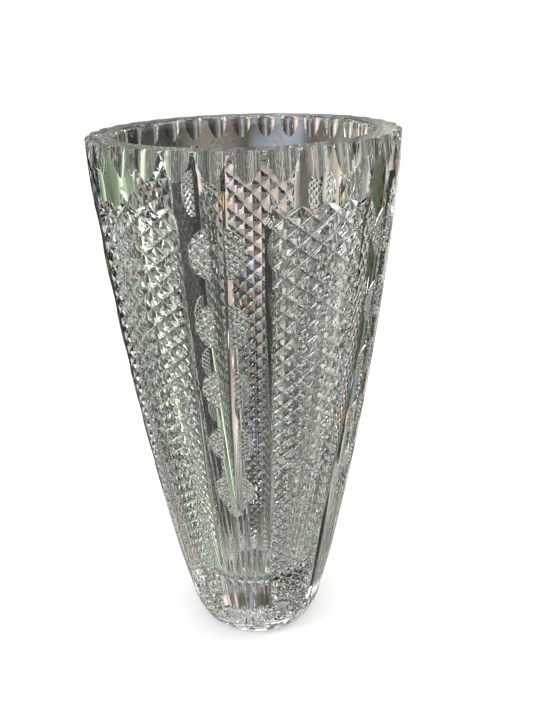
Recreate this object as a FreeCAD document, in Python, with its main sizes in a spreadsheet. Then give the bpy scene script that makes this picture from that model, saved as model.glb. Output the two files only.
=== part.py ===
"""Cut crystal vase: one thick, tapering vessel of clear glass with cut panels.

The vase stands on Z = 0 with its axis on Z, and the middle of one plain panel faces -Y.
Sizes are millimetres and degrees, and the driving ones are in the Sizes sheet.
"""

import FreeCAD, Part
import math
import os

import Sketcher
from FreeCAD import Placement, Rotation, Vector

DIMENSIONS = {
    # Outer shape
    "height": 250,
    "foot_radius": 30,
    "foot_bevel_radius": 35.8,
    "foot_bevel_height": 11.5,
    "wall_top_radius": 67,
    "wall_top_height": 232,
    "wall_bend_radius": 1633,
    "rim_radius": 67.5,
    "lip_bevel": 1.5,
    # Inside
    "mouth_radius": 55,
    "lip_inner_bevel": 2,
    "cavity_low_radius": 27,
    "cavity_low_height": 42,
    "cavity_floor_radius": 14,
    "cavity_floor_height": 28,
    "cavity_corner_radius": 18,
    # Hollow under the foot
    "punt_radius": 23,
    "punt_depth": 1.5,
    # Scalloped flutes round the rim
    "flute_count": 32,
    "flute_first_angle": -2,
    "flute_cutter_radius": 9,
    "flute_depth": 2.9,
    "flute_length": 12.5,
    # Plain panels and diamond-cut panels take turns round the wall, with a mitre groove between
    "panel_pairs": 5,
    "plain_panel_angle": 34,
    "mitre_width": 5.6,
    "mitre_depth": 1.9,
    "mitre_low_height": 8,
    "mitre_top_height": 231,
    # Channel down the middle of each plain panel, set a little to one side with its medallions
    "panel_cut_turn": -1.6,
    "channel_width": 9,
    "channel_depth": 2.6,
    "channel_low_height": 84,
    "channel_top_height": 236,
    # Oval medallions across the channel, smaller towards the foot as the wall narrows
    "medallion_rows": 5,
    "medallion_top_height": 212.2,
    "medallion_angle": 20.6,
    "medallion_aspect": 0.317,
    "medallion_end_bend": 1.02,
    "medallion_pitch": 0.462,
    "medallion_depth": 0.6,
    # Petals above the foot, under each plain panel
    "petal_count": 4,
    "petal_step_angle": 7.4,
    "petal_cutter_radius": 3.4,
    "petal_depth": 1.6,
    "petal_low_height": 8,
    "petal_top_height": 86,
    # Star cut under the foot
    "star_rays": 16,
    "star_ray_width": 3,
    "star_ray_depth": 1.2,
}

# How far a cutter stands out of the glass
CLEARANCE = 2.0


def fill_sheet(doc):
    """Puts every driving dimension in the sheet, with its name as the cell's alias."""
    sheet = doc.addObject("Spreadsheet::Sheet", "Sizes")
    for row, (name, value) in enumerate(DIMENSIONS.items(), start=1):
        sheet.set(f"A{row}", name)
        sheet.set(f"B{row}", str(value))
        sheet.setAlias(f"B{row}", name)
    doc.recompute()
    return sheet


def origin_feature(body, role):
    """The body's own origin plane or axis with this role."""
    for feature in body.Origin.OriginFeatures:
        if feature.Role == role:
            return feature
    raise ValueError(f"{body.Label} has no {role}")


def new_sketch(body, name, plane, offset=None):
    """An empty sketch on one of the body's origin planes, moved by offset."""
    sketch = body.newObject("Sketcher::SketchObject", name)
    sketch.AttachmentSupport = [(origin_feature(body, plane), "")]
    sketch.MapMode = "FlatFace"
    if offset is not None:
        sketch.AttachmentOffset = offset
    return sketch


def bind(sketch, constraint, name, rule):
    """Adds a constraint and holds its value to a rule on the sheet."""
    index = sketch.addConstraint(constraint)
    sketch.renameConstraint(index, name)
    sketch.setExpression(f".Constraints.{name}", rule)


def pin(sketch, edge, end, name, rules):
    """Holds one end of an edge at the place that two rules on the sheet give."""
    place = sketch.getPoint(edge, end)
    bind(sketch, Sketcher.Constraint("DistanceX", -1, 1, edge, end, place.x), f"{name}_x", rules[0])
    bind(sketch, Sketcher.Constraint("DistanceY", -1, 1, edge, end, place.y), f"{name}_y", rules[1])


def bulged_arc(start, end, radius, side):
    """The short arc of this radius from start to end. side is 1 to bulge left of the way, else -1."""
    chord = end.sub(start)
    bulge = radius - math.sqrt(radius**2 - (chord.Length / 2) ** 2)
    left = Vector(-chord.y, chord.x, 0).normalize()
    middle = start.add(end).multiply(0.5).add(left.multiply(side * bulge))
    return Part.Arc(start, middle, end)


def ends_of(sketch, edge, start):
    """The numbers of the edge's two ends, the one at start first."""
    if sketch.getPoint(edge, 1).distanceToPoint(start) < 1e-6:
        return 1, 2
    return 2, 1


def draw_outline(sketch, corners, arcs):
    """Draws a closed outline.

    corners are (name, (x, y), (x rule, y rule)). arcs maps a corner's name to (radius, rule, side),
    where the edge that leaves that corner is an arc.
    """
    points = [Vector(*place, 0) for _, place, _ in corners]
    ends = []
    for i, (name, _, _) in enumerate(corners):
        start = points[i]
        end = points[(i + 1) % len(points)]
        if name in arcs:
            radius, _, side = arcs[name]
            sketch.addGeometry(bulged_arc(start, end, radius, side), False)
        else:
            sketch.addGeometry(Part.LineSegment(start, end), False)
        ends.append(ends_of(sketch, i, start))
    for i in range(len(points)):
        after = (i + 1) % len(points)
        sketch.addConstraint(
            Sketcher.Constraint("Coincident", i, ends[i][1], after, ends[after][0])
        )
    for i, (name, _, rules) in enumerate(corners):
        pin(sketch, i, ends[i][0], name, rules)
        if name in arcs:
            radius, rule, _ = arcs[name]
            bind(sketch, Sketcher.Constraint("Radius", i, radius), f"{name}_bend", rule)


class Wall:
    """The outer wall's arc in a half section, from the foot bevel to just under the rim."""

    def __init__(self, size):
        low = Vector(size.foot_bevel_radius, size.foot_bevel_height, 0)
        high = Vector(size.wall_top_radius, size.wall_top_height, 0)
        chord = high.sub(low)
        reach = math.sqrt(size.wall_bend_radius**2 - (chord.Length / 2) ** 2)
        inward = Vector(-chord.y, chord.x, 0).normalize()
        self.bend = size.wall_bend_radius
        self.centre = low.add(high).multiply(0.5).add(inward.multiply(reach))

    def radius(self, height):
        """Distance from the vase's axis to the wall."""
        return self.centre.x + math.sqrt(self.bend**2 - (height - self.centre.y) ** 2)

    def lean(self, height):
        """How far the wall leans outward, in degrees from the vertical."""
        return math.degrees(math.asin((self.centre.y - height) / self.bend))


def turned(angle):
    """Offset in a vertical sketch plane's own axes that turns it about the vase's axis."""
    return Placement(Vector(0, 0, 0), Rotation(Vector(0, 1, 0), angle))


def make_blank(body, size):
    """The uncut vessel: its half section turned about the axis."""
    corners = [
        ("punt_top", (0, size.punt_depth), ("0", "Sizes.punt_depth")),
        ("punt_edge", (size.punt_radius, 0), ("Sizes.punt_radius", "0")),
        ("foot_edge", (size.foot_radius, 0), ("Sizes.foot_radius", "0")),
        (
            "wall_low",
            (size.foot_bevel_radius, size.foot_bevel_height),
            ("Sizes.foot_bevel_radius", "Sizes.foot_bevel_height"),
        ),
        (
            "wall_top",
            (size.wall_top_radius, size.wall_top_height),
            ("Sizes.wall_top_radius", "Sizes.wall_top_height"),
        ),
        (
            "lip_outer",
            (size.rim_radius, size.height - size.lip_bevel),
            ("Sizes.rim_radius", "Sizes.height - Sizes.lip_bevel"),
        ),
        (
            "lip_top_outer",
            (size.rim_radius - size.lip_bevel, size.height),
            ("Sizes.rim_radius - Sizes.lip_bevel", "Sizes.height"),
        ),
        (
            "lip_top_inner",
            (size.mouth_radius + size.lip_inner_bevel, size.height),
            ("Sizes.mouth_radius + Sizes.lip_inner_bevel", "Sizes.height"),
        ),
        (
            "mouth",
            (size.mouth_radius, size.height - size.lip_inner_bevel),
            ("Sizes.mouth_radius", "Sizes.height - Sizes.lip_inner_bevel"),
        ),
        (
            "cavity_low",
            (size.cavity_low_radius, size.cavity_low_height),
            ("Sizes.cavity_low_radius", "Sizes.cavity_low_height"),
        ),
        (
            "floor_edge",
            (size.cavity_floor_radius, size.cavity_floor_height),
            ("Sizes.cavity_floor_radius", "Sizes.cavity_floor_height"),
        ),
        ("floor_middle", (0, size.cavity_floor_height), ("0", "Sizes.cavity_floor_height")),
    ]
    arcs = {
        "wall_low": (size.wall_bend_radius, "Sizes.wall_bend_radius", -1),
        "mouth": (size.wall_bend_radius, "Sizes.wall_bend_radius", 1),
        "cavity_low": (size.cavity_corner_radius, "Sizes.cavity_corner_radius", 1),
    }
    seam_angle = 90 / size.panel_pairs
    sketch = new_sketch(body, "vessel_section", "XZ_Plane", turned(seam_angle))
    draw_outline(sketch, corners, arcs)
    blank = body.newObject("PartDesign::Revolution", "vessel_blank")
    blank.Profile = sketch
    blank.ReferenceAxis = (sketch, ["V_Axis"])
    blank.Angle = 360
    return blank


def rod_cut(body, name, angle, low, high, radius, radius_rule):
    """Cuts a hollow with a straight rod whose inner side passes through two points.

    low and high are (distance from the axis, height) of those points in the vertical plane at
    this angle from the front.
    """
    out, rise = high[0] - low[0], high[1] - low[1]
    length = math.hypot(out, rise)
    lean = math.degrees(math.atan2(out, rise))
    seat = Placement(Vector(-low[0], low[1], 0), Rotation(Vector(0, 0, 1), lean))
    sketch = new_sketch(body, f"{name}_section", "YZ_Plane", turned(angle).multiply(seat))
    bottom, top = -CLEARANCE, length + CLEARANCE
    outer_rule = f"-{radius_rule}"
    corners = [
        ("axis_low", (-radius, bottom), (outer_rule, str(bottom))),
        ("side_low", (0, bottom), ("0", str(bottom))),
        ("side_high", (0, top), ("0", str(top))),
        ("axis_high", (-radius, top), (outer_rule, str(top))),
    ]
    draw_outline(sketch, corners, {})
    axis = sketch.addGeometry(
        Part.LineSegment(Vector(-radius, bottom, 0), Vector(-radius, top, 0)), True
    )
    pin(sketch, axis, 1, "centre_low", corners[0][2])
    pin(sketch, axis, 2, "centre_high", corners[3][2])
    cut = body.newObject("PartDesign::Groove", name)
    cut.Profile = sketch
    cut.ReferenceAxis = (sketch, ["Axis0"])
    cut.Angle = 360
    return cut


def wall_groove(body, name, angle, wall, heights, section, rules):
    """Cuts a V groove that follows the wall's arc between two heights, at one angle round it.

    section is the groove's (width, depth), and rules say the same on the sheet.
    """
    low, high = heights
    width, depth = section
    turn = Placement(Vector(0, 0, 0), Rotation(Vector(0, 0, 1), angle))
    seat = Placement(
        Vector(0, -wall.radius(low), low), Rotation(Vector(1, 0, 0), wall.lean(low))
    )
    sketch = new_sketch(body, f"{name}_section", "XY_Plane", turn.multiply(seat))
    width_rule, depth_rule = rules
    half = width / 2 * (1 + CLEARANCE / depth)
    half_rule = f"{width_rule} / 2 * (1 + {CLEARANCE} / {depth_rule})"
    corners = [
        ("outer_left", (-half, -CLEARANCE), (f"-{half_rule}", str(-CLEARANCE))),
        ("outer_right", (half, -CLEARANCE), (half_rule, str(-CLEARANCE))),
        ("root", (0, depth), ("0", depth_rule)),
    ]
    draw_outline(sketch, corners, {})
    axis = sketch.addGeometry(
        Part.LineSegment(Vector(-width, wall.bend, 0), Vector(width, wall.bend, 0)), True
    )
    pin(sketch, axis, 1, "hinge_left", (f"-{width_rule}", "Sizes.wall_bend_radius"))
    pin(sketch, axis, 2, "hinge_right", (width_rule, "Sizes.wall_bend_radius"))
    cut = body.newObject("PartDesign::Groove", name)
    cut.Profile = sketch
    cut.ReferenceAxis = (sketch, ["Axis0"])
    cut.Reversed = True
    cut.Angle = wall.lean(low) - wall.lean(high)
    return cut


def medallion_cut(body, row, wall, size, height):
    """Sinks one flat-floored oval into the front plain panel, with its middle at this height."""
    name = f"medallion_{row}"
    radius = wall.radius(height)
    seat = Placement(Vector(0, height, radius), Rotation(Vector(1, 0, 0), wall.lean(height)))
    turn = turned(size.panel_cut_turn)
    sketch = new_sketch(body, f"{name}_outline", "XZ_Plane", turn.multiply(seat))
    half_height = size.medallion_aspect * radius / 2
    end_bend = size.medallion_end_bend * half_height
    end_bulge = end_bend - math.sqrt(end_bend**2 - half_height**2)
    straight = radius * math.tan(math.radians(size.medallion_angle / 2)) - end_bulge
    bend_rule = f"Sizes.medallion_end_bend * Sizes.medallion_aspect * {radius} / 2"
    height_rule = f"Sizes.medallion_aspect * {radius} / 2"
    corners = [
        ("top_right", (straight, half_height), (f"{straight}", height_rule)),
        ("top_left", (-straight, half_height), (f"{-straight}", height_rule)),
        ("low_left", (-straight, -half_height), (f"{-straight}", f"-{height_rule}")),
        ("low_right", (straight, -half_height), (f"{straight}", f"-{height_rule}")),
    ]
    arcs = {"top_left": (end_bend, bend_rule, -1), "low_right": (end_bend, bend_rule, -1)}
    draw_outline(sketch, corners, arcs)
    cut = body.newObject("PartDesign::Pocket", name)
    cut.Profile = sketch
    cut.Type = "Length"
    cut.setExpression("Length", "Sizes.medallion_depth")
    return cut


def medallion_heights(wall, size):
    """Heights of the medallions' middles, from the top row down."""
    height = size.medallion_top_height
    for _ in range(int(size.medallion_rows)):
        yield height
        height -= size.medallion_pitch * wall.radius(height)


def star_cut(body, size):
    """One V-shaped ray of the star under the foot, from the middle to the foot's ring."""
    sketch = new_sketch(body, "star_ray_section", "XZ_Plane")
    half = size.star_ray_width / 2 * (1 + CLEARANCE / size.star_ray_depth)
    top = size.punt_depth + size.star_ray_depth
    half_rule = f"Sizes.star_ray_width / 2 * (1 + {CLEARANCE} / Sizes.star_ray_depth)"
    corners = [
        ("left", (-half, -CLEARANCE), (f"-{half_rule}", str(-CLEARANCE))),
        ("root", (0, top), ("0", "Sizes.punt_depth + Sizes.star_ray_depth")),
        ("right", (half, -CLEARANCE), (half_rule, str(-CLEARANCE))),
    ]
    draw_outline(sketch, corners, {})
    cut = body.newObject("PartDesign::Pocket", "star_ray")
    cut.Profile = sketch
    cut.Type = "Length"
    cut.Reversed = True
    cut.setExpression("Length", "Sizes.punt_radius")
    return cut


def all_round(body, cut, count_rule, count):
    """Repeats a cut evenly all the way round the axis."""
    pattern = body.newObject("PartDesign::PolarPattern", f"{cut.Name}_pattern")
    pattern.Originals = [cut]
    pattern.Axis = (origin_feature(body, "Z_Axis"), [""])
    pattern.Angle = 360
    pattern.Occurrences = count
    pattern.setExpression("Occurrences", count_rule)
    body.Tip = pattern


def rim_flute(body, size):
    """One scalloped flute, deepest at the rim."""
    return rod_cut(
        body,
        "rim_flute",
        size.flute_first_angle,
        (size.rim_radius, size.height - size.flute_length),
        (size.rim_radius - size.flute_depth, size.height),
        size.flute_cutter_radius,
        "Sizes.flute_cutter_radius",
    )


def mitre(body, size, wall, side):
    """One groove between a plain panel and a diamond-cut one. side is -1 for left, 1 for right."""
    return wall_groove(
        body,
        "mitre_left" if side < 0 else "mitre_right",
        side * size.plain_panel_angle / 2,
        wall,
        (size.mitre_low_height, size.mitre_top_height),
        (size.mitre_width, size.mitre_depth),
        ("Sizes.mitre_width", "Sizes.mitre_depth"),
    )


def channel(body, size, wall):
    """The V groove down the middle of the front plain panel."""
    return wall_groove(
        body,
        "channel",
        size.panel_cut_turn,
        wall,
        (size.channel_low_height, size.channel_top_height),
        (size.channel_width, size.channel_depth),
        ("Sizes.channel_width", "Sizes.channel_depth"),
    )


def petal(body, size, wall, number):
    """One long petal above the foot of the front plain panel, counted from the left."""
    low, high = size.petal_low_height, size.petal_top_height
    from_middle = number - (size.petal_count + 1) / 2
    return rod_cut(
        body,
        f"petal_{number}",
        from_middle * size.petal_step_angle,
        (wall.radius(low) - size.petal_depth, low),
        (wall.radius(high), high),
        size.petal_cutter_radius,
        "Sizes.petal_cutter_radius",
    )


def make_vase(doc, size):
    """The whole vase as one body: the blank, then each kind of cut all the way round."""
    body = doc.addObject("PartDesign::Body", "vase_body")
    body.Label = "vase_body"
    wall = Wall(size)
    make_blank(body, size)
    doc.recompute()
    volume = body.Shape.Volume

    pairs = "Sizes.panel_pairs"
    cuts = [(lambda: rim_flute(body, size), "Sizes.flute_count", size.flute_count)]
    for side in (-1, 1):
        cuts.append((lambda side=side: mitre(body, size, wall, side), pairs, size.panel_pairs))
    cuts.append((lambda: channel(body, size, wall), pairs, size.panel_pairs))
    for row, height in enumerate(medallion_heights(wall, size), start=1):
        cuts.append(
            (
                lambda row=row, height=height: medallion_cut(body, row, wall, size, height),
                pairs,
                size.panel_pairs,
            )
        )
    for number in range(1, int(size.petal_count) + 1):
        cuts.append(
            (lambda number=number: petal(body, size, wall, number), pairs, size.panel_pairs)
        )
    cuts.append((lambda: star_cut(body, size), "Sizes.star_rays", size.star_rays))

    for make_cut, count_rule, count in cuts:
        cut = make_cut()
        all_round(body, cut, count_rule, int(count))
        doc.recompute()
        solids = len(body.Shape.Solids)
        print(f"{cut.Name}: {body.Shape.Volume / 1000:.1f} cm3 in {solids} solid")
        if solids != 1 or not body.Shape.isValid() or body.Shape.Volume >= volume:
            raise RuntimeError(f"{cut.Name} didn't cut as it should")
        volume = body.Shape.Volume
    return body


class Sizes:
    """The sheet's values as plain attributes."""

    def __init__(self, sheet):
        for name in DIMENSIONS:
            setattr(self, name, float(sheet.get(name)))


def check_states(doc):
    """Stops if any object of the document failed to build."""
    for item in doc.Objects:
        bad = [state for state in item.State if state in ("Invalid", "Error")]
        if bad:
            raise RuntimeError(f"{item.Label} is {bad}")


def export(parts):
    """Writes each sub-part to parts/ under its label."""
    os.makedirs("parts", exist_ok=True)
    for part in parts:
        shape = part.Shape
        if shape.isNull() or not shape.isValid():
            raise RuntimeError(f"{part.Label} has no valid shape")
        shape.exportStep(os.path.join("parts", f"{part.Label}.step"))


def main():
    doc = FreeCAD.newDocument("cut_vase")
    sheet = fill_sheet(doc)
    parts = [make_vase(doc, Sizes(sheet))]
    doc.recompute()
    check_states(doc)
    export(parts)


main()
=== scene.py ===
"""Cut crystal vase: a thick, tapering vessel turned from one blank and cut by wheels.

The vase stands on Z = 0 with its axis on Z, and the middle of one plain panel faces -Y.
Each cut is shaped flat, as on a bench, wrapped on the wall, and taken out of the blank.
"""

import math

import bpy
import numpy
from mathutils import Matrix, Vector


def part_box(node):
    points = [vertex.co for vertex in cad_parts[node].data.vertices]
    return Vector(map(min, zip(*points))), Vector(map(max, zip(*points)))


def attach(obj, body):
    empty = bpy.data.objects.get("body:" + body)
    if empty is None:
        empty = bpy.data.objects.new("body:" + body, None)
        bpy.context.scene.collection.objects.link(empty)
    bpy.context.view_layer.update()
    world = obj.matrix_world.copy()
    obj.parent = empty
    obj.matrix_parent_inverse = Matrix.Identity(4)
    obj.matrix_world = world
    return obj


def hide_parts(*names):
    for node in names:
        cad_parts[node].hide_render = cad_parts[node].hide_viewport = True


bl_info = {
    "name": "Cut Crystal Vase",
    "version": (1, 0, 0),
    "blender": (4, 5, 0),
    "location": "View3D > Sidebar > Crystal Vase",
    "description": "Turns and cuts a crystal vase around its packed model, and sets its stage",
    "category": "Add Mesh",
}

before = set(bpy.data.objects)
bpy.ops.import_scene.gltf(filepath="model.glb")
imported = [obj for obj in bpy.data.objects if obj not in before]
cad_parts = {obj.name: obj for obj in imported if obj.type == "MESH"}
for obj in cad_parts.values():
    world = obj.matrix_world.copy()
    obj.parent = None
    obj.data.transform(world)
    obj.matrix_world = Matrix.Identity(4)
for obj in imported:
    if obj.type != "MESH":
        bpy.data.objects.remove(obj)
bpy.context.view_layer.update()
CAD_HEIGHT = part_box("vase_body")[1].z
VASE = "cut_vase"

MM = 0.001
FULL_TURN = 2 * math.pi
# How far a cutter stands out of the glass, and how close to it counts as on it
CLEARANCE = 3 * MM
NEAR = 0.001 * MM
# Edges turned by less than this are polished through and look smooth
SMOOTH_ANGLE = math.radians(11)
# How far past the foot and the rim the wall's curve is measured, and in how many places
WALL_MARGIN = 20 * MM
WALL_SAMPLES = 4001
# Extra points on the section: shares of the way up the foot's bevel and up the rim's band
FOOT_SHARES = (0.08, 0.36, 0.68)
RIM_SHARES = (0.2, 0.4, 0.6, 0.8)
# Radius of the rim's rounded edges over their bevels, and the steps round them and the floor
EDGE_ROUNDING = 1.05
EDGE_STEPS = 4
CORNER_STEPS = 10
# Height of a cutter's slab, and how far under the wall its points' tips stay, over the wall radius
SLAB = 0.1
TIP_SINK = 0.0004
# Sides of a round wheel's rod, and steps along a straight groove
ROD_SIDES = 96
GROOVE_STEPS = 90
# Points that a sheet has to spare before it is trimmed to its field
SPARE_POINTS = 4
# A point's own face in the unit grid is larger than this, and a groove's is smaller
POINT_FACE = 0.5
# A field of points has its facets' finish in the first slot and its grooves' in the second
GROOVE_SLOT = 1
# Share of a point's side that a groove's flat bottom takes
DIAMOND_ROOT = 0.085
HATCH_ROOT = 0.12
# Share of its depth that a groove's root keeps at its pointed end
ROOT_AT_POINT = 0.02
# How steeply the diamond grooves run out at their top, and how much the spikes differ
SPIKE_LIFT = 1.5
SPIKE_SWING = 0.12
# An oval's ends: their radius and the hatching's reach, over half its height, and their steps
OVAL_END = 1.02
OVAL_HATCHING = 1.1
OVAL_STEPS = 20


def length(name, description, millimetres):
    """A length that a user can change, given in millimetres."""
    return bpy.props.FloatProperty(
        name=name, description=description, default=millimetres * MM, unit="LENGTH", precision=5
    )


def angle(name, description, degrees):
    """An angle that a user can change, given in degrees."""
    return bpy.props.FloatProperty(
        name=name, description=description, default=math.radians(degrees), unit="ROTATION"
    )


def ratio(name, description, value):
    """A plain number that a user can change."""
    return bpy.props.FloatProperty(name=name, description=description, default=value, precision=4)


def count(name, description, value):
    """A whole number that a user can change."""
    return bpy.props.IntProperty(name=name, description=description, default=value, min=1)


def colour(name, description, red, green, blue):
    """A colour that a user can change."""
    return bpy.props.FloatVectorProperty(
        name=name,
        description=description,
        default=(red, green, blue),
        subtype="COLOR",
        size=3,
        min=0,
        max=1,
    )


class VaseBlankSizes(bpy.types.PropertyGroup):
    """The uncut vessel."""

    height: bpy.props.FloatProperty(
        name="Height", description="Height of the vase", default=CAD_HEIGHT, unit="LENGTH"
    )
    foot_radius: length("Foot Radius", "Radius of the foot's flat ring", 30)
    foot_bevel_radius: length("Foot Bevel Radius", "Wall radius over the foot's bevel", 35.8)
    foot_bevel_height: length("Foot Bevel Height", "Height of the foot's bevel", 11.5)
    wall_top_radius: length("Wall Top Radius", "Wall radius under the rim", 67)
    wall_top_height: length("Wall Top Height", "Height where the rim's band starts", 232)
    wall_bend: length("Wall Bend", "Radius of the wall's long curve, seen from the side", 1633)
    rim_radius: length("Rim Radius", "Outer radius of the rim", 67.5)
    lip_bevel: length("Lip Bevel", "Bevel on the rim's outer edge", 1.5)
    mouth_radius: length("Mouth Radius", "Inner radius of the rim", 55)
    mouth_bevel: length("Mouth Bevel", "Bevel on the rim's inner edge", 2)
    cavity_low_radius: length("Cavity Low Radius", "Inner radius over the rounded floor", 27)
    cavity_low_height: length("Cavity Low Height", "Height where the rounded floor starts", 42)
    cavity_floor_radius: length("Cavity Floor Radius", "Radius of the flat floor inside", 14)
    cavity_floor_height: length("Cavity Floor Height", "Thickness of glass under the bowl", 28)
    cavity_corner: length("Cavity Corner", "Radius of the floor's rounded corner", 18)
    punt_radius: length("Punt Radius", "Radius of the hollow under the foot", 23)
    punt_depth: length("Punt Depth", "Depth of the hollow under the foot", 1.5)
    turn_steps: count("Turn Steps", "Steps in the full turn of the blank", 240)
    wall_steps: count("Wall Steps", "Steps along each long curve of the section", 84)


class VaseCutSizes(bpy.types.PropertyGroup):
    """The wheel cuts."""

    pairs: count("Panel Pairs", "Plain panels, with a diamond-cut panel beside each", 5)
    plain_angle: angle("Plain Panel Angle", "Width of a plain panel round the wall", 34)
    flute_count: count("Flutes", "Scalloped flutes round the rim", 32)
    flute_first: angle("First Flute", "Place of the first flute, round from the front", -2)
    flute_wheel: length("Flute Wheel", "Radius of the hollow that a flute leaves", 9)
    flute_depth: length("Flute Depth", "Depth of a flute at the rim", 2.9)
    flute_length: length("Flute Length", "Length of a flute below the rim", 12.5)
    mitre_width: length("Mitre Width", "Width of the grooves between the panels", 5.6)
    mitre_depth: length("Mitre Depth", "Depth of the grooves between the panels", 1.9)
    mitre_low: length("Mitre Foot", "Height of a mitre's lower end", 8)
    mitre_high: length("Mitre Head", "Height of a mitre's upper end", 231)
    panel_cut_turn: angle("Panel Cut Turn", "Channel's place, round from the panel's middle", -1.6)
    channel_width: length("Channel Width", "Width of the channel down a plain panel", 9)
    channel_depth: length("Channel Depth", "Depth of the channel down a plain panel", 2.6)
    channel_low: length("Channel Foot", "Height of the channel's lower end", 84)
    channel_high: length("Channel Head", "Height of the channel's upper end", 236)
    medallion_rows: count("Medallion Rows", "Ovals down each plain panel", 5)
    medallion_top: length("Top Medallion", "Height of the top oval's middle", 212.2)
    medallion_angle: angle("Medallion Width", "Width of an oval round the wall", 20.6)
    medallion_height: ratio("Medallion Height", "Height of an oval over the wall radius", 0.317)
    medallion_pitch: ratio("Medallion Pitch", "Step between ovals over the wall radius", 0.462)
    medallion_depth: ratio("Medallion Depth", "Depth of an oval over the wall radius", 0.0092)
    diamond_columns: count("Diamond Columns", "Diamonds side by side in a panel", 4)
    diamond_slope: ratio("Diamond Slope", "Height of a diamond over its width", 0.717)
    diamond_depth: ratio("Diamond Depth", "Depth of the diamond cuts over the wall radius", 0.0285)
    diamond_top: length("Diamond Head", "Height of the spikes over the diamonds", 229)
    diamond_low: length("Diamond Foot", "Height of the lowest diamond cuts", 3)
    hatch_width: ratio("Hatch Width", "Width of a hatch point over the wall radius", 0.0627)
    hatch_slope: ratio("Hatch Slope", "Height of a hatch point over its width", 0.672)
    hatch_depth: ratio("Hatch Depth", "Depth of the hatching over the wall radius", 0.0095)
    petals: count("Petals", "Petals side by side under each plain panel", 4)
    petal_step: angle("Petal Step", "Angle from one petal to the next", 7.4)
    petal_wheel: length("Petal Wheel", "Radius of the hollow that a petal leaves", 3.4)
    petal_depth: length("Petal Depth", "Depth of a petal at the foot", 1.6)
    petal_low: length("Petal Foot", "Height where a petal is measured", 8)
    petal_high: length("Petal Head", "Height of a petal's tip", 86)
    run_out: length("Run Out", "How far a groove rises to its pointed end", 9)
    star_rays: count("Star Rays", "Rays of the star under the foot", 16)
    star_width: length("Star Ray Width", "Width of a ray", 3)
    star_depth: length("Star Ray Depth", "Depth of a ray", 1.2)


class VaseGlassLook(bpy.types.PropertyGroup):
    """The crystal's colour and polish."""

    clear: colour("Clear", "Colour of the polished surface", 0.988, 0.99, 0.986)
    veil: colour("Veil", "Colour of the fainter patches of the surface", 0.93, 0.95, 0.94)
    depth_tint: colour("Depth Tint", "Colour that thick glass takes", 0.78, 0.80, 0.76)
    tint_density: ratio("Tint Density", "How fast the glass takes that colour", 6.0)
    bending: ratio("Bending", "Refractive index of the crystal", 1.55)


class VaseStageLook(bpy.types.PropertyGroup):
    """Floor, light, surround and camera."""

    floor_size: length("Floor Size", "Side of the pale floor", 6000)
    floor_tone: colour("Floor Tone", "Colour of the floor", 0.9, 0.9, 0.89)
    camera_turn: angle("Camera Turn", "Camera's place, round from the front", 8.5)
    camera_rise: angle("Camera Rise", "Camera's height over the level", 26.2)
    camera_roll: angle("Camera Roll", "Camera's own tilt", -1.77)
    camera_reach: length("Camera Reach", "Camera's distance from the point it aims at", 404.5)
    camera_aim: length("Camera Aim", "Height of the point that it aims at", 111.6)
    camera_lens: ratio("Lens", "Focal length in millimetres", 40.5)
    shift_across: ratio("Shift Across", "Sideways shift of the lens", 0.0201)
    shift_up: ratio("Shift Up", "Upward shift of the lens", 0.088)


# ---------------------------------------------------------------- the wall's shape


def arc_centre(start, end, radius, side):
    """Centre of the short arc from start to end, with side 1 to bulge left and -1 to bulge right."""
    chord = end - start
    reach = math.sqrt(radius**2 - (chord.length / 2) ** 2)
    left = Vector((-chord.y, chord.x)).normalized()
    return (start + end) / 2 - left * side * reach


def bend_points(start, end, radius, side, steps):
    """Points of the short arc from start to end, without start, with side as in arc_centre."""
    start, end = Vector(start), Vector(end)
    centre = arc_centre(start, end, radius, side)
    first = math.atan2(*(start - centre).yx)
    sweep = -side * 2 * math.asin((end - start).length / 2 / radius)
    places = []
    for step in range(1, steps + 1):
        bearing = first + sweep * step / steps
        places.append(tuple(centre + radius * Vector((math.cos(bearing), math.sin(bearing)))))
    return places


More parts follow.
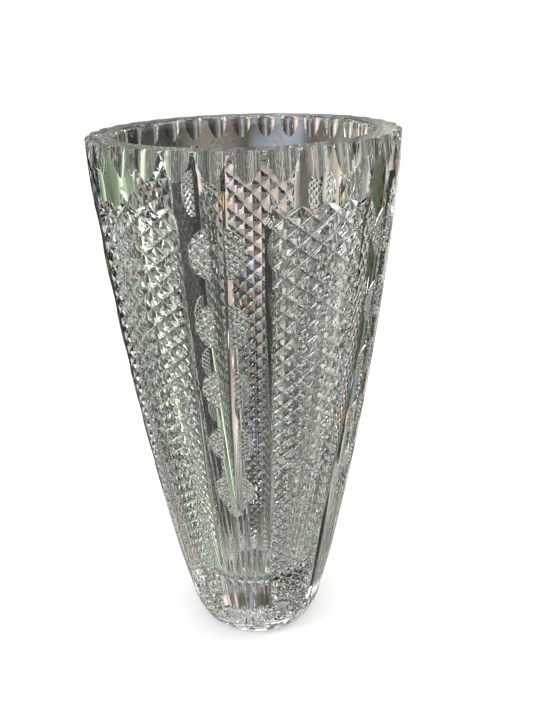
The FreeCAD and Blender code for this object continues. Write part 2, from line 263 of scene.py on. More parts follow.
class Wall:
    """The outer wall, and the flat sheet that wraps on it.

    A sheet's x is the angle round the wall, its y the rise, and its z the distance out of the
    glass. Rise is the way up the wall over the wall's radius, so a pattern keeps its shape.
    """

    def __init__(self, size):
        low = Vector((size.foot_bevel_radius, size.foot_bevel_height))
        high = Vector((size.wall_top_radius, size.wall_top_height))
        self.centre = arc_centre(low, high, size.wall_bend, -1)
        self.bend = size.wall_bend
        self.heights = numpy.linspace(-WALL_MARGIN, size.height + WALL_MARGIN, WALL_SAMPLES)
        steps = numpy.diff(self.heights)
        middles = self.heights[:-1] + steps / 2
        spans = steps / numpy.cos(self.lean(middles)) / self.radius(middles)
        self.rises = numpy.concatenate([[0], numpy.cumsum(spans)])

    def radius(self, height):
        """Distance from the vase's axis to the wall."""
        return self.centre.x + numpy.sqrt(self.bend**2 - (height - self.centre.y) ** 2)

    def lean(self, height):
        """How far the wall leans outward from the vertical."""
        return numpy.arcsin((self.centre.y - height) / self.bend)

    def rise(self, height):
        """The rise at this height."""
        return float(numpy.interp(height, self.heights, self.rises))

    def height(self, rise):
        """The height at this rise."""
        return numpy.interp(rise, self.rises, self.heights)

    def wrap(self, piece, turn=0.0, grows=True):
        """Bends a flat sheet round the wall, with its x = 0 at this turn from the front.

        A sheet that grows is in shares of the wall's radius, and one that doesn't is in metres.
        """
        mesh = piece.data
        flat = numpy.empty(len(mesh.vertices) * 3)
        mesh.vertices.foreach_get("co", flat)
        across, rise, out = flat.reshape(-1, 3).T
        height = self.height(rise)
        radius = self.radius(height)
        lean = self.lean(height)
        bearing = turn + (across if grows else across / radius)
        stand = out * radius if grows else out
        from_axis = radius + stand * numpy.cos(lean)
        place = [
            from_axis * numpy.sin(bearing),
            -from_axis * numpy.cos(bearing),
            height - stand * numpy.sin(lean),
        ]
        mesh.vertices.foreach_set("co", numpy.stack(place, axis=1).ravel())
        mesh.update()


# ---------------------------------------------------------------- bench tools


def clear_selection():
    """Leaves edit mode and selects nothing."""
    if bpy.context.object and bpy.context.object.mode != "OBJECT":
        bpy.ops.object.mode_set(mode="OBJECT")
    bpy.ops.object.select_all(action="DESELECT")


def pick(piece):
    """Selects one piece and makes it active."""
    clear_selection()
    piece.select_set(True)
    bpy.context.view_layer.objects.active = piece


def edit_all(mode="VERT"):
    """Opens the active piece for editing with everything selected."""
    bpy.ops.object.mode_set(mode="EDIT")
    bpy.ops.mesh.select_mode(type=mode)
    bpy.ops.mesh.select_all(action="SELECT")


def draw_outline(name, points):
    """A new piece that is one chain of edges through these points, left in edit mode."""
    clear_selection()
    bpy.ops.mesh.primitive_plane_add(size=MM)
    piece = bpy.context.object
    piece.name = name
    edit_all()
    bpy.ops.mesh.merge(type="CENTER")
    bpy.ops.transform.translate(value=points[0])
    for before, after in zip(points, points[1:]):
        step = Vector(after) - Vector(before)
        bpy.ops.mesh.extrude_region_move(TRANSFORM_OT_translate={"value": step})
    return piece


def close_outline():
    """Fills the drawn chain with one face and leaves it selected."""
    bpy.ops.mesh.select_all(action="SELECT")
    bpy.ops.mesh.edge_face_add()


def extrude_all(step, times=1):
    """Pulls what is selected by this step, as many times as asked."""
    for _ in range(times):
        bpy.ops.mesh.extrude_region_move(TRANSFORM_OT_translate={"value": step})


def close_shape():
    """Merges doubles, turns every face outward and leaves edit mode."""
    bpy.ops.mesh.select_all(action="SELECT")
    bpy.ops.mesh.remove_doubles(threshold=NEAR)
    bpy.ops.mesh.normals_make_consistent(inside=False)
    bpy.ops.object.mode_set(mode="OBJECT")


def face_outward(piece):
    """Turns every face of a finished cutter outward."""
    pick(piece)
    edit_all("FACE")
    bpy.ops.mesh.normals_make_consistent(inside=False)
    bpy.ops.object.mode_set(mode="OBJECT")


def copy_round(piece, copies, step):
    """Copies a cutter round the axis at this step and joins the copies to it."""
    group = [piece]
    for index in range(1, copies):
        pick(piece)
        bpy.ops.object.duplicate()
        twin = bpy.context.object
        twin.rotation_euler.z = index * step
        bpy.ops.object.transform_apply()
        group.append(twin)
    pick(piece)
    for twin in group:
        twin.select_set(True)
    bpy.ops.object.join()
    return piece


def finish_with(piece, *materials):
    """Gives a piece its finishes: for a cutter, what its wheel leaves on the glass."""
    piece.data.materials.clear()
    for material in materials:
        piece.data.materials.append(material)


def combine(piece, cutter, operation):
    """Applies a Boolean of the cutter to the piece and drops the cutter."""
    pick(piece)
    modifier = piece.modifiers.new(cutter.name, "BOOLEAN")
    modifier.solver = "MANIFOLD"
    modifier.operation = operation
    modifier.material_mode = "TRANSFER"
    modifier.object = cutter
    before = len(piece.data.polygons)
    bpy.ops.object.modifier_apply(modifier=modifier.name)
    bpy.data.objects.remove(cutter)
    if len(piece.data.polygons) in (0, before):
        raise RuntimeError(f"{modifier.name} changed nothing on {piece.name}")


def cut_glass(cutter, *materials):
    """Takes a cutter out of the vase and leaves these finishes on the cut."""
    finish_with(cutter, *materials)
    combine(bpy.data.objects[VASE], cutter, "DIFFERENCE")


# ---------------------------------------------------------------- the blank


def between(start, end, shares):
    """Points at these shares of the straight way from start to end."""
    return [tuple(Vector(start).lerp(Vector(end), share)) for share in shares]


def blank_section(size):
    """The vessel's half section from the punt's middle round to the bowl's middle."""
    rim = size.height
    foot = (size.foot_radius, 0)
    foot_top = (size.foot_bevel_radius, size.foot_bevel_height)
    wall_top = (size.wall_top_radius, size.wall_top_height)
    lip = (size.rim_radius, rim - size.lip_bevel)
    lip_top = (size.rim_radius - size.lip_bevel, rim)
    mouth_top = (size.mouth_radius + size.mouth_bevel, rim)
    mouth = (size.mouth_radius, rim - size.mouth_bevel)
    cavity_low = (size.cavity_low_radius, size.cavity_low_height)
    floor_edge = (size.cavity_floor_radius, size.cavity_floor_height)
    points = [
        (0, size.punt_depth),
        (size.punt_radius / 2, size.punt_depth),
        (size.punt_radius - size.punt_depth, size.punt_depth),
        (size.punt_radius, 0),
        foot,
    ]
    points += between(foot, foot_top, FOOT_SHARES)
    points.append(foot_top)
    points += bend_points(foot_top, wall_top, size.wall_bend, -1, size.wall_steps)
    points += between(wall_top, lip, RIM_SHARES)
    points.append(lip)
    points += bend_points(lip, lip_top, size.lip_bevel * EDGE_ROUNDING, -1, EDGE_STEPS)
    points += between(lip_top, mouth_top, (0.5,))
    points.append(mouth_top)
    points += bend_points(mouth_top, mouth, size.mouth_bevel * EDGE_ROUNDING, -1, EDGE_STEPS)
    points += bend_points(mouth, cavity_low, size.wall_bend, 1, size.wall_steps)
    points += bend_points(cavity_low, floor_edge, size.cavity_corner, 1, CORNER_STEPS)
    points.append((size.cavity_floor_radius / 2, size.cavity_floor_height))
    points.append((0, size.cavity_floor_height))
    return [(radius, 0, height) for radius, height in points]


def turn_blank(size):
    """Spins the half section into the closed, uncut vessel."""
    vase = draw_outline(VASE, blank_section(size))
    bpy.ops.mesh.select_all(action="SELECT")
    bpy.ops.mesh.spin(steps=size.turn_steps, angle=FULL_TURN, center=(0, 0, 0), axis=(0, 0, 1))
    close_shape()
    return vase


# ---------------------------------------------------------------- cutters


def depth_share(height, low, high, run):
    """Share of its depth that a groove has at this height, as it rises to a pointed end."""
    share = 1.0
    for from_end, reach in ((height - low, run[0]), (high - height, run[1])):
        if reach:
            share = min(share, from_end / reach)
    return max(share, ROOT_AT_POINT)


def groove_cutter(name, wall, width, depth, low, high, run):
    """A V wheel's cut up the wall between two heights, laid flat and not yet wrapped.

    run is how far from its (lower, upper) end the root reaches its depth, or 0 for a square end.
    """
    half = width / 2 * (1 + CLEARANCE / depth)
    start, end = wall.rise(low), wall.rise(high)
    section = [(-half, start, CLEARANCE), (half, start, CLEARANCE), (0, start, -depth)]
    piece = draw_outline(name, section)
    close_outline()
    extrude_all((0, (end - start) / GROOVE_STEPS, 0), GROOVE_STEPS)
    close_shape()
    for vertex in piece.data.vertices:
        if vertex.co.z < 0:
            vertex.co.z *= depth_share(float(wall.height(vertex.co.y)), low, high, run)
    return piece


def rod_cutter(name, bearing, low, high, radius):
    """A round wheel's hollow: a rod whose inner side passes through two (radius, height) points."""
    low, high = Vector(low), Vector(high)
    way = high - low
    outward = Vector((way.y, -way.x)).normalized()
    middle = (low + high) / 2 + outward * radius
    clear_selection()
    bpy.ops.mesh.primitive_cylinder_add(
        vertices=ROD_SIDES,
        radius=radius,
        depth=way.length + 2 * CLEARANCE,
        end_fill_type="NGON",
        location=(0, -middle.x, middle.y),
        rotation=(math.atan2(way.x, way.y), 0, 0),
    )
    piece = bpy.context.object
    piece.name = name
    bpy.ops.object.transform_apply()
    piece.rotation_euler.z = bearing
    bpy.ops.object.transform_apply()
    return piece


def point_sheet(name, width, height, depth, reach, root):
    """A flat sheet of four-sided points between crossed grooves, left in edit mode.

    width and height are one point's diagonals, and reach is the field's (left, right, low, high).
    root is the share of a point's side that each groove leaves flat. Grooves cross at the middle
    of the top edge. The points' tips are just under z = 0, and the grooves are depth below them.
    """
    left, right, low, high = reach
    side = 2 * math.ceil(max((right - left) / width, (high - low) / height)) + SPARE_POINTS
    clear_selection()
    bpy.ops.mesh.primitive_grid_add(x_subdivisions=side, y_subdivisions=side, size=side)
    piece = bpy.context.object
    piece.name = name
    edit_all("EDGE")
    bpy.ops.mesh.bevel(offset=root / 2, segments=1, affect="EDGES")
    bpy.ops.object.mode_set(mode="OBJECT")
    mesh = piece.data
    points = [face.area > POINT_FACE for face in mesh.polygons]
    mesh.polygons.foreach_set("select", points)
    mesh.polygons.foreach_set("material_index", [GROOVE_SLOT * (not point) for point in points])
    bpy.ops.object.mode_set(mode="EDIT")
    bpy.ops.mesh.select_mode(type="FACE")
    bpy.ops.mesh.poke(offset=depth, center_mode="MEDIAN")
    bpy.ops.object.mode_set(mode="OBJECT")
    # Turned by an eighth, a unit square's diagonals are sqrt(2) long, and then take their size
    turn = Matrix.Rotation(math.pi / 4, 4, "Z")
    stretch = Matrix.Diagonal((width / math.sqrt(2), height / math.sqrt(2), 1, 1))
    mesh.transform(Matrix.Translation((0, high, -depth - TIP_SINK)) @ stretch @ turn)
    edit_all("FACE")
    for place, normal in (
        ((left, 0, 0), (-1, 0, 0)),
        ((right, 0, 0), (1, 0, 0)),
        ((0, low, 0), (0, -1, 0)),
        ((0, high + height, 0), (0, 1, 0)),
    ):
        bpy.ops.mesh.select_all(action="SELECT")
        bpy.ops.mesh.bisect(plane_co=place, plane_no=normal, clear_outer=True)
    bpy.ops.mesh.select_all(action="SELECT")
    return piece


def run_out(piece, high, width, height, depth):
    """Lifts a sheet's top so that its grooves run out in spikes, every second one longer."""
    bpy.ops.object.mode_set(mode="OBJECT")
    for vertex in piece.data.vertices:
        longer = SPIKE_SWING * height * math.cos(math.pi * vertex.co.x / width)
        above = vertex.co.y - (high - height / 2 + longer)
        if above > 0:
            vertex.co.z += SPIKE_LIFT * depth * above / height
    edit_all("FACE")


def diamond_cutter(cuts, wall):
    """One diamond-cut panel's slab, laid flat, with its top row running out in spikes."""
    panel = FULL_TURN / cuts.pairs - cuts.plain_angle
    width = panel / cuts.diamond_columns
    height = width * cuts.diamond_slope
    high = wall.rise(cuts.diamond_top)
    reach = (-panel / 2, panel / 2, wall.rise(cuts.diamond_low), high)
    piece = point_sheet("diamonds", width, height, cuts.diamond_depth, reach, DIAMOND_ROOT)
    run_out(piece, high, width, height, cuts.diamond_depth)
    extrude_all((0, 0, SLAB))
    close_shape()
    return piece


def medallion_cutter(cuts, rise):
    """One oval with a hatched floor, laid flat with its middle at this rise."""
    width = cuts.hatch_width
    height = width * cuts.hatch_slope
    half_width, half_height = cuts.medallion_angle / 2, cuts.medallion_height / 2
    low = rise - half_height * OVAL_HATCHING
    reach = (-half_width, half_width, low, rise + half_height)
    hatch = point_sheet("hatching", width, height, cuts.hatch_depth, reach, HATCH_ROOT)
    bpy.ops.transform.translate(value=(0, 0, -cuts.medallion_depth))
    extrude_all((0, 0, SLAB))
    close_shape()
    bend = half_height * OVAL_END
    straight = half_width - (bend - math.sqrt(bend**2 - half_height**2))
    corners = [
        (-straight, rise + half_height),
        (-straight, rise - half_height),
        (straight, rise - half_height),
        (straight, rise + half_height),
    ]
    left_end = bend_points(corners[0], corners[1], bend, -1, OVAL_STEPS)
    right_end = bend_points(corners[2], corners[3], bend, -1, OVAL_STEPS)
    outline = [corners[0], *left_end, corners[2], *right_end]
    oval = draw_outline("medallion", [(x, y, -SLAB) for x, y in outline])
    close_outline()
    extrude_all((0, 0, 3 * SLAB))
    close_shape()
    for piece in (oval, hatch):
        finish_with(piece, finish("hatched_floor"), finish("hatch_line"))
    combine(oval, hatch, "INTERSECT")
    return oval


def star_ray_cutter(size, cuts):
    """One V ray from the middle of the punt to the foot's ring."""
    half = cuts.star_width / 2 * (1 + CLEARANCE / cuts.star_depth)
    top = size.punt_depth + cuts.star_depth
    section = [(-half, 0, -CLEARANCE), (half, 0, -CLEARANCE), (0, 0, top)]
    piece = draw_outline("star_ray", section)
    close_outline()
    extrude_all((0, -size.punt_radius, 0))
    close_shape()
    return piece


# ---------------------------------------------------------------- finishes


POLISH = "Crystal Polish"
# Scale and detail of the faint patches on the glass, and the noise values between which they grow
PATCH_SCALE = 35.0
PATCH_DETAIL = 4.0
PATCH_RANGE = (0.5, 0.72)
LINE_DETAIL = 3.0
# Height of the polish's unevenness, before its strength
WAVE_HEIGHT = 0.2 * MM


def new_group(name, inputs, outputs):
    """An empty shader node group with these sockets, and its in and out nodes."""
    group = bpy.data.node_groups.new(name, "ShaderNodeTree")
    for socket, kind, default in inputs:
        made = group.interface.new_socket(name=socket, in_out="INPUT", socket_type=kind)
        made.default_value = default
    for socket, kind in outputs:
        group.interface.new_socket(name=socket, in_out="OUTPUT", socket_type=kind)
    return group, group.nodes.new("NodeGroupInput"), group.nodes.new("NodeGroupOutput")


def add_node(tree, kind, **settings):
    """A new node with its properties set."""
    node = tree.nodes.new(kind)
    for name, value in settings.items():
        setattr(node, name, value)
    return node


def feed(tree, target, source):
    """Links a source socket to a target socket, or sets the target to a plain value."""
    if isinstance(source, bpy.types.NodeSocket):
        tree.links.new(source, target)
    else:
        target.default_value = source


def calculate(tree, operation, first, second=0.0, clamp=False):
    """A math node's output."""
    node = add_node(tree, "ShaderNodeMath", operation=operation, use_clamp=clamp)
    feed(tree, node.inputs[0], first)
    feed(tree, node.inputs[1], second)
    return node.outputs[0]


def speckle(tree, vector, scale, detail=2.0):
    """A noise node's value at this scale."""
    node = add_node(tree, "ShaderNodeTexNoise")
    feed(tree, node.inputs["Vector"], vector)
    feed(tree, node.inputs["Scale"], scale)
    node.inputs["Detail"].default_value = detail
    return node.outputs["Fac"]


def spread(tree, value, low, high, to_low=0.0, to_high=1.0):
    """A value mapped from one range to another and held inside it."""
    node = add_node(tree, "ShaderNodeMapRange")
    for name, source in (
        ("Value", value),
        ("From Min", low),
        ("From Max", high),
        ("To Min", to_low),
        ("To Max", to_high),
    ):
        feed(tree, node.inputs[name], source)
    return node.outputs["Result"]


def blend_colours(tree, share, first, second):
    """A colour mix node's output."""
    node = add_node(tree, "ShaderNodeMix", data_type="RGBA")
    feed(tree, node.inputs["Factor"], share)
    feed(tree, node.inputs["A"], first)
    feed(tree, node.inputs["B"], second)
    return node.outputs["Result"]


def polish_group():
    """Polished glass: a slight unevenness, faint wheel lines and finger-soft patches."""
    number = "NodeSocketFloat"
    group, given, made = new_group(
        POLISH,
        [
            ("Vector", "NodeSocketVector", (0, 0, 0)),
            ("Smoothness", number, 0.01),
            ("Haze", number, 0.03),
            ("Wave Scale", number, 60.0),
            ("Line Scale", number, 900.0),
            ("Line Share", number, 0.2),
        ],
        [("Roughness", number), ("Height", number), ("Veil", number)],
    )
    place = given.outputs["Vector"]
    waves = speckle(group, place, given.outputs["Wave Scale"])
    lines = speckle(group, place, given.outputs["Line Scale"], LINE_DETAIL)
    patches = spread(group, speckle(group, place, PATCH_SCALE, PATCH_DETAIL), *PATCH_RANGE)
    hazy = calculate(group, "MULTIPLY", patches, given.outputs["Haze"])
    rough = calculate(group, "ADD", given.outputs["Smoothness"], hazy)
    fine = calculate(group, "MULTIPLY", lines, given.outputs["Line Share"])
    feed(group, made.inputs["Roughness"], rough)
    feed(group, made.inputs["Height"], calculate(group, "ADD", waves, fine))
    feed(group, made.inputs["Veil"], patches)
    return group


def crystal(name, look, group, clearness, smoothness, haze, wave, line_share, strength):
    """A crystal finish.

    clearness is the light let through, and strength how much the unevenness turns it.
    """
    material = bpy.data.materials.new(name)
    material.use_nodes = True
    tree = material.node_tree
    glass = tree.nodes["Principled BSDF"]
    glass.inputs["Transmission Weight"].default_value = clearness
    glass.inputs["Metallic"].default_value = 0.0
    glass.inputs["IOR"].default_value = look.bending
    place = add_node(tree, "ShaderNodeTexCoord").outputs["Object"]
    polish = add_node(tree, "ShaderNodeGroup", node_tree=group)
    feed(tree, polish.inputs["Vector"], place)
    for socket, value in (
        ("Smoothness", smoothness),
        ("Haze", haze),
        ("Wave Scale", wave),
        ("Line Share", line_share),
    ):
        polish.inputs[socket].default_value = value
    tint = blend_colours(tree, polish.outputs["Veil"], (*look.clear, 1), (*look.veil, 1))
    feed(tree, glass.inputs["Base Color"], tint)
    feed(tree, glass.inputs["Roughness"], polish.outputs["Roughness"])
    bump = add_node(tree, "ShaderNodeBump")
    bump.inputs["Strength"].default_value = strength
    bump.inputs["Distance"].default_value = WAVE_HEIGHT
    feed(tree, bump.inputs["Height"], polish.outputs["Height"])
    feed(tree, glass.inputs["Normal"], bump.outputs["Normal"])
    depth = add_node(tree, "ShaderNodeVolumeAbsorption")
    depth.inputs["Color"].default_value = (*look.depth_tint, 1)
    depth.inputs["Density"].default_value = look.tint_density
    feed(tree, tree.nodes["Material Output"].inputs["Volume"], depth.outputs["Volume"])
    return material


# Each finish's clearness, smoothness, haze, wave scale, line share and strength
FINISHES = {
    "polished_wall": (1.0, 0.0, 0.012, 40.0, 0.01, 0.06),
    "diamond_facets": (1.0, 0.0, 0.02, 110.0, 0.02, 0.03),
    "wheel_cut": (1.0, 0.0, 0.02, 70.0, 0.03, 0.06),
    "hatched_floor": (1.0, 0.0, 0.02, 110.0, 0.02, 0.03),
    "groove_line": (0.38, 0.22, 0.10, 250.0, 0.20, 0.15),
    "hatch_line": (0.75, 0.15, 0.10, 250.0, 0.20, 0.15),
}


def finish(name):
    """The crystal finish with this name, made when it is first asked for."""
    found = bpy.data.materials.get(name)
    if found:
        return found
    group = bpy.data.node_groups.get(POLISH) or polish_group()
    return crystal(name, bpy.context.scene.vase_glass, group, *FINISHES[name])


# ---------------------------------------------------------------- stage


# Bands of the room round the vase: (degrees round to the right from straight behind it, as the
# front camera sees it, and colour)
LOW_BANDS = (
    (-180, (0.14, 0.14, 0.135)),
    (-110, (0.22, 0.22, 0.21)),
    (-84, (0.50, 0.53, 0.47)),
    (-74, (1.15, 1.48, 1.00)),
    (-57, (1.15, 1.48, 0.98)),
    (-53, (0.16, 0.19, 0.14)),
    (-43, (0.07, 0.08, 0.065)),
    (-40, (0.04, 0.045, 0.04)),
    (-26, (0.012, 0.012, 0.011)),
    (-15, (0.03, 0.03, 0.024)),
    (-8, (0.04, 0.038, 0.03)),
    (-4, (0.20, 0.17, 0.145)),
    (0, (0.08, 0.075, 0.06)),
    (3, (0.60, 0.66, 0.78)),
    (6, (0.15, 0.13, 0.11)),
    (13, (0.12, 0.105, 0.09)),
    (18, (0.88, 0.68, 0.58)),
    (25, (1.0, 0.95, 0.92)),
    (29, (0.22, 0.19, 0.165)),
    (33, (0.85, 0.78, 0.74)),
    (38, (0.05, 0.065, 0.035)),
    (58, (0.05, 0.07, 0.035)),
    (66, (0.50, 0.55, 0.45)),
    (78, (0.70, 0.70, 0.66)),
    (100, (0.20, 0.20, 0.19)),
    (180, (0.14, 0.14, 0.135)),
)
HIGH_BANDS = (
    (-180, (1.4, 1.4, 1.4)),
    (-85, (1.7, 1.75, 1.65)),
    (-62, (1.3, 1.42, 1.2)),
    (-50, (0.5, 0.58, 0.42)),
    (-38, (1.7, 1.8, 1.65)),
    (-22, (1.8, 1.8, 1.8)),
    (-14, (0.35, 0.34, 0.32)),
    (4, (0.30, 0.32, 0.27)),
    (12, (0.85, 0.76, 0.70)),
    (24, (0.18, 0.17, 0.15)),
    (36, (1.4, 1.32, 1.25)),
    (48, (0.20, 0.24, 0.17)),
    (64, (1.1, 1.1, 1.1)),
    (85, (1.7, 1.7, 1.7)),
    (180, (1.4, 1.4, 1.4)),
)
# A direction's upward part is 0 when it is level, 1 straight up and -1 straight down. Where the
# low bands turn into the high ones, and where the cloth below and the light overhead grow
LEVEL_RANGE = (0.0, 0.16)
CLOTH_RANGE = (-0.80, -0.97)
OVERHEAD_RANGE = (0.55, 0.75)
CLOTH_TONE = (0.62, 0.62, 0.60)
OVERHEAD_TONE = (0.95, 0.97, 1.0)
# How far the bands' edges waver, as a share of a full turn, and the scale of the wavering
RIPPLE = 0.05
RIPPLE_SCALE = 3.0
# The unevenness of the bands: its scale and detail, the noise's range and the brightness it makes
LEAF_SCALE = 7.0
LEAF_DETAIL = 3.0
LEAF_RANGE = (0.38, 0.62)
LEAF_BRIGHTNESS = (0.65, 1.35)
# Small coloured sparks in the room: their scale, their edge, and each hue from its share on
SPARK_SCALE = 11.0
SPARK_EDGE = (0.15, 0.10)
SPARK_HUES = (
    (0.0, (0.45, 0.70, 1.6)),
    (0.3, (1.9, 0.95, 0.35)),
    (0.5, (2.2, 2.2, 2.2)),
    (0.75, (1.6, 0.85, 1.2)),
)
# What the eye sees past the floor
PAPER_TONE = (1.0, 1.0, 1.0)
# The floor's grain: scale, detail and the darker grain's tone over the floor's own
GRAIN_SCALE = 40.0
GRAIN_DETAIL = 4.0
GRAIN_TONE = 0.985
FLOOR_ROUGHNESS = 0.9
FLOOR_SPECULAR = 0.1
# Soft lights: (name, place and size in metres, power in watts)
SOFTBOXES = (
    ("left_softbox", (-1.3, -0.7, 1.2), (0.8, 1.2), 12),
    ("right_softbox", (1.2, 0.3, 1.3), (0.6, 1.2), 9),
    ("top_softbox", (0, 0, 2.0), (1.6, 1.6), 16),
)
# Nearest distance that the camera sees
NEAREST_SEEN = 10 * MM


def colour_ramp(tree, share, tones, blend="LINEAR"):
    """The colour at this share of a row of (share, colour) stops."""
    ramp = add_node(tree, "ShaderNodeValToRGB")
    feed(tree, ramp.inputs["Fac"], share)
    ramp.color_ramp.interpolation = blend
    stops = ramp.color_ramp.elements
    while len(stops) < len(tones):
        stops.new(0.5)
    for stop, (place, tone) in zip(stops, tones):
        stop.position = place
        stop.color = (*tone, 1)
    return ramp.outputs["Color"]


def bands(tree, share, tones):
    """The room's colour at this share of a full turn."""
    places = [(degrees / 360 + 0.5, tone) for degrees, tone in tones]
    return colour_ramp(tree, share, places)


def bearing_share(tree, look, seen, across, away):
    """Where a direction lies in the full turn of the room, with a waver in the bands' edges."""
    bearing = calculate(tree, "ARCTAN2", across, away)
    turned = calculate(tree, "ADD", bearing, look.camera_turn)
    share = calculate(tree, "ADD", calculate(tree, "DIVIDE", turned, FULL_TURN), 0.5)
    ripple = calculate(tree, "SUBTRACT", speckle(tree, seen, RIPPLE_SCALE), 0.5)
    share = calculate(tree, "ADD", share, calculate(tree, "MULTIPLY", ripple, RIPPLE))
    return calculate(tree, "FRACT", share)


def room_colour(tree, look):
    """The garden room's colour in each direction."""
    seen = add_node(tree, "ShaderNodeTexCoord").outputs["Generated"]
    axes = add_node(tree, "ShaderNodeSeparateXYZ")
    feed(tree, axes.inputs[0], seen)
    across, away, up = axes.outputs
    share = bearing_share(tree, look, seen, across, away)
    low, high = bands(tree, share, LOW_BANDS), bands(tree, share, HIGH_BANDS)
    room = blend_colours(tree, spread(tree, up, *LEVEL_RANGE), low, high)
    noise = speckle(tree, seen, LEAF_SCALE, LEAF_DETAIL)
    shaded = add_node(tree, "ShaderNodeVectorMath", operation="SCALE")
    feed(tree, shaded.inputs[0], room)
    feed(tree, shaded.inputs["Scale"], spread(tree, noise, *LEAF_RANGE, *LEAF_BRIGHTNESS))
    cloth = spread(tree, up, *CLOTH_RANGE)
    room = blend_colours(tree, cloth, shaded.outputs[0], (*CLOTH_TONE, 1))
    overhead = spread(tree, up, *OVERHEAD_RANGE)
    room = blend_colours(tree, overhead, room, (*OVERHEAD_TONE, 1))
    sparks = add_node(tree, "ShaderNodeTexVoronoi")
    feed(tree, sparks.inputs["Vector"], seen)
    sparks.inputs["Scale"].default_value = SPARK_SCALE
    spark = spread(tree, sparks.outputs["Distance"], *SPARK_EDGE)
    hues = colour_ramp(tree, sparks.outputs["Color"], SPARK_HUES, "CONSTANT")
    return blend_colours(tree, spark, room, hues)


def make_surround(look):
    """Plain white for the eye and the floor, and a garden room that only the glass shows."""
    world = bpy.data.worlds.new("studio_surround")
    bpy.context.scene.world = world
    world.use_nodes = True
    tree = world.node_tree
    path = add_node(tree, "ShaderNodeLightPath")
    plain = calculate(
        tree, "ADD", path.outputs["Is Camera Ray"], path.outputs["Is Diffuse Ray"], clamp=True
    )
    seen = blend_colours(tree, plain, room_colour(tree, look), (*PAPER_TONE, 1))
    feed(tree, tree.nodes["Background"].inputs["Color"], seen)


def make_floor(look):
    """A pale floor with a slight grain, which the glass neither shows through it nor mirrors."""
    clear_selection()
    bpy.ops.mesh.primitive_plane_add(size=look.floor_size)
    floor = bpy.context.object
    floor.name = "pale_floor"
    material = bpy.data.materials.new("pale_floor")
    material.use_nodes = True
    tree = material.node_tree
    surface = tree.nodes["Principled BSDF"]
    place = add_node(tree, "ShaderNodeTexCoord").outputs["Object"]
    grain = speckle(tree, place, GRAIN_SCALE, GRAIN_DETAIL)
    darker = [tone * GRAIN_TONE for tone in look.floor_tone]
    tone = blend_colours(tree, grain, (*look.floor_tone, 1), (*darker, 1))
    feed(tree, surface.inputs["Base Color"], tone)
    surface.inputs["Roughness"].default_value = FLOOR_ROUGHNESS
    surface.inputs["Specular IOR Level"].default_value = FLOOR_SPECULAR
    floor.data.materials.append(material)
    floor.visible_transmission = False
    floor.visible_glossy = False


def add_softbox(name, place, target, size, power):
    """A large soft light at a place, aimed at a target."""
    clear_selection()
    way = Vector(target) - Vector(place)
    bpy.ops.object.light_add(
        type="AREA", location=place, rotation=way.to_track_quat("-Z", "Y").to_euler()
    )
    lamp = bpy.context.object
    lamp.name = name
    lamp.data.shape = "RECTANGLE"
    lamp.data.size, lamp.data.size_y = size
    lamp.data.energy = power


def place_camera(look):
    """A camera aimed at the vase's axis from a little above."""
    level = math.cos(look.camera_rise) * look.camera_reach
    place = Vector(
        (
            level * math.sin(look.camera_turn),
            -level * math.cos(look.camera_turn),
            look.camera_aim + look.camera_reach * math.sin(look.camera_rise),
        )
    )
    way = Vector((0, 0, look.camera_aim)) - place
    facing = way.to_track_quat("-Z", "Y").to_matrix() @ Matrix.Rotation(look.camera_roll, 3, "Z")
    clear_selection()
    bpy.ops.object.camera_add(location=place, rotation=facing.to_euler())
    camera = bpy.context.object
    camera.name = "front_camera"
    camera.data.lens = look.camera_lens
    camera.data.shift_x = look.shift_across
    camera.data.shift_y = look.shift_up
    camera.data.clip_start = NEAREST_SEEN
    bpy.context.scene.camera = camera


# ---------------------------------------------------------------- operators


class VASE_OT_blank(bpy.types.Operator):
    """Turn the uncut vessel from its half section"""

    bl_idname = "vase.blank"
    bl_label = "Turn Blank"

    def execute(self, context):
        vase = turn_blank(context.scene.vase_blank)
        finish_with(vase, finish("polished_wall"))
        return {"FINISHED"}


class VASE_OT_diamond_panels(bpy.types.Operator):
    """Cut the fields of pointed diamonds between the plain panels"""

    bl_idname = "vase.diamond_panels"
    bl_label = "Cut Diamond Panels"

    def execute(self, context):
        scene = context.scene
        cuts = scene.vase_cuts
        wall = Wall(scene.vase_blank)
        cutter = diamond_cutter(cuts, wall)
        step = FULL_TURN / cuts.pairs
        wall.wrap(cutter, step / 2)
        face_outward(cutter)
        copy_round(cutter, cuts.pairs, step)
        cut_glass(cutter, finish("diamond_facets"), finish("groove_line"))
        return {"FINISHED"}


class VASE_OT_mitres(bpy.types.Operator):
    """Cut the mitre groove down each side of each plain panel"""

    bl_idname = "vase.mitres"
    bl_label = "Cut Mitres"

    def execute(self, context):
        scene = context.scene
        cuts = scene.vase_cuts
        wall = Wall(scene.vase_blank)
        size = (cuts.mitre_width, cuts.mitre_depth, cuts.mitre_low, cuts.mitre_high)
        for side in (-1, 1):
            cutter = groove_cutter("mitres", wall, *size, (0, cuts.run_out))
            wall.wrap(cutter, side * cuts.plain_angle / 2, grows=False)
            face_outward(cutter)
            copy_round(cutter, cuts.pairs, FULL_TURN / cuts.pairs)
            cut_glass(cutter, finish("wheel_cut"))
        return {"FINISHED"}


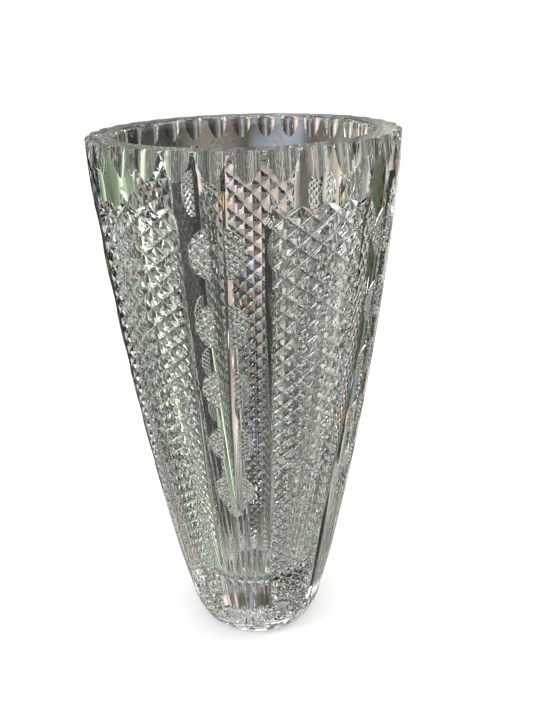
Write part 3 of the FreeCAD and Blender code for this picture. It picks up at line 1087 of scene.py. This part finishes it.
class VASE_OT_channels(bpy.types.Operator):
    """Cut the channel down the middle of each plain panel"""

    bl_idname = "vase.channels"
    bl_label = "Cut Channels"

    def execute(self, context):
        scene = context.scene
        cuts = scene.vase_cuts
        wall = Wall(scene.vase_blank)
        size = (cuts.channel_width, cuts.channel_depth, cuts.channel_low, cuts.channel_high)
        cutter = groove_cutter("channels", wall, *size, (cuts.run_out, 0))
        wall.wrap(cutter, cuts.panel_cut_turn, grows=False)
        face_outward(cutter)
        copy_round(cutter, cuts.pairs, FULL_TURN / cuts.pairs)
        cut_glass(cutter, finish("wheel_cut"))
        return {"FINISHED"}


class VASE_OT_medallions(bpy.types.Operator):
    """Sink the hatched ovals down each plain panel"""

    bl_idname = "vase.medallions"
    bl_label = "Cut Medallions"

    def execute(self, context):
        scene = context.scene
        cuts = scene.vase_cuts
        wall = Wall(scene.vase_blank)
        height = cuts.medallion_top
        for _ in range(cuts.medallion_rows):
            cutter = medallion_cutter(cuts, wall.rise(height))
            wall.wrap(cutter, cuts.panel_cut_turn)
            face_outward(cutter)
            copy_round(cutter, cuts.pairs, FULL_TURN / cuts.pairs)
            cut_glass(cutter, finish("hatched_floor"), finish("hatch_line"))
            height -= cuts.medallion_pitch * float(wall.radius(height))
        return {"FINISHED"}


class VASE_OT_petals(bpy.types.Operator):
    """Cut the long petals under each plain panel"""

    bl_idname = "vase.petals"
    bl_label = "Cut Petals"

    def execute(self, context):
        scene = context.scene
        cuts = scene.vase_cuts
        wall = Wall(scene.vase_blank)
        low = (float(wall.radius(cuts.petal_low)) - cuts.petal_depth, cuts.petal_low)
        high = (float(wall.radius(cuts.petal_high)), cuts.petal_high)
        for number in range(cuts.petals):
            bearing = (number - (cuts.petals - 1) / 2) * cuts.petal_step
            cutter = rod_cutter("petals", bearing, low, high, cuts.petal_wheel)
            copy_round(cutter, cuts.pairs, FULL_TURN / cuts.pairs)
            cut_glass(cutter, finish("wheel_cut"))
        return {"FINISHED"}


class VASE_OT_rim_flutes(bpy.types.Operator):
    """Scallop the rim with a ring of flutes"""

    bl_idname = "vase.rim_flutes"
    bl_label = "Cut Rim Flutes"

    def execute(self, context):
        scene = context.scene
        size, cuts = scene.vase_blank, scene.vase_cuts
        low = (size.rim_radius, size.height - cuts.flute_length)
        high = (size.rim_radius - cuts.flute_depth, size.height)
        step = FULL_TURN / cuts.flute_count
        for first in (0, 1):
            bearing = cuts.flute_first + first * step
            cutter = rod_cutter("rim_flutes", bearing, low, high, cuts.flute_wheel)
            copy_round(cutter, cuts.flute_count // 2, 2 * step)
            cut_glass(cutter, finish("wheel_cut"))
        return {"FINISHED"}


class VASE_OT_star(bpy.types.Operator):
    """Cut the star under the foot"""

    bl_idname = "vase.star"
    bl_label = "Cut Star"

    def execute(self, context):
        scene = context.scene
        size, cuts = scene.vase_blank, scene.vase_cuts
        star = star_ray_cutter(size, cuts)
        for ray in range(1, cuts.star_rays):
            twin = star_ray_cutter(size, cuts)
            twin.rotation_euler.z = ray * FULL_TURN / cuts.star_rays
            pick(twin)
            bpy.ops.object.transform_apply()
            combine(star, twin, "UNION")
        cut_glass(star, finish("wheel_cut"))
        return {"FINISHED"}


class VASE_OT_polish(bpy.types.Operator):
    """Smooth the curves, keep the cuts crisp, and set the vase in the frame"""

    bl_idname = "vase.polish"
    bl_label = "Polish Vase"

    def execute(self, context):
        vase = bpy.data.objects[VASE]
        pick(vase)
        bpy.ops.object.shade_smooth_by_angle(angle=SMOOTH_ANGLE)
        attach(vase, "root")
        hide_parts("vase_body")
        return {"FINISHED"}


class VASE_OT_stage(bpy.types.Operator):
    """Lay the floor, set the lights and place the camera"""

    bl_idname = "vase.stage"
    bl_label = "Set Stage"

    def execute(self, context):
        look = context.scene.vase_stage
        make_surround(look)
        make_floor(look)
        target = (0, 0, look.camera_aim)
        for name, place, extent, power in SOFTBOXES:
            add_softbox(name, place, target, extent, power)
        place_camera(look)
        context.scene.view_settings.view_transform = "Standard"
        return {"FINISHED"}


STEPS = (
    VASE_OT_blank,
    VASE_OT_diamond_panels,
    VASE_OT_mitres,
    VASE_OT_channels,
    VASE_OT_medallions,
    VASE_OT_petals,
    VASE_OT_rim_flutes,
    VASE_OT_star,
    VASE_OT_polish,
    VASE_OT_stage,
)


class VASE_PT_bench(bpy.types.Panel):
    """Lists the steps of making the vase, in order"""

    bl_label = "Crystal Vase"
    bl_idname = "VASE_PT_bench"
    bl_space_type = "VIEW_3D"
    bl_region_type = "UI"
    bl_category = "Crystal Vase"

    def draw(self, context):
        for step in STEPS:
            self.layout.operator(step.bl_idname)


# ---------------------------------------------------------------- registration

GROUPS = {
    "vase_blank": VaseBlankSizes,
    "vase_cuts": VaseCutSizes,
    "vase_glass": VaseGlassLook,
    "vase_stage": VaseStageLook,
}


def register():
    """Adds the settings, the steps and the panel to Blender."""
    for name, group in GROUPS.items():
        bpy.utils.register_class(group)
        setattr(bpy.types.Scene, name, bpy.props.PointerProperty(type=group))
    for step in (*STEPS, VASE_PT_bench):
        bpy.utils.register_class(step)


def unregister():
    """Takes them out again."""
    for step in reversed((*STEPS, VASE_PT_bench)):
        bpy.utils.unregister_class(step)
    for name, group in reversed(GROUPS.items()):
        delattr(bpy.types.Scene, name)
        bpy.utils.unregister_class(group)


def main():
    """Makes the vase and its stage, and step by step."""
    register()
    for step in STEPS:
        _, name = step.bl_idname.split(".")
        getattr(bpy.ops.vase, name)()
    clear_selection()


if __name__ == "__main__":
    main()
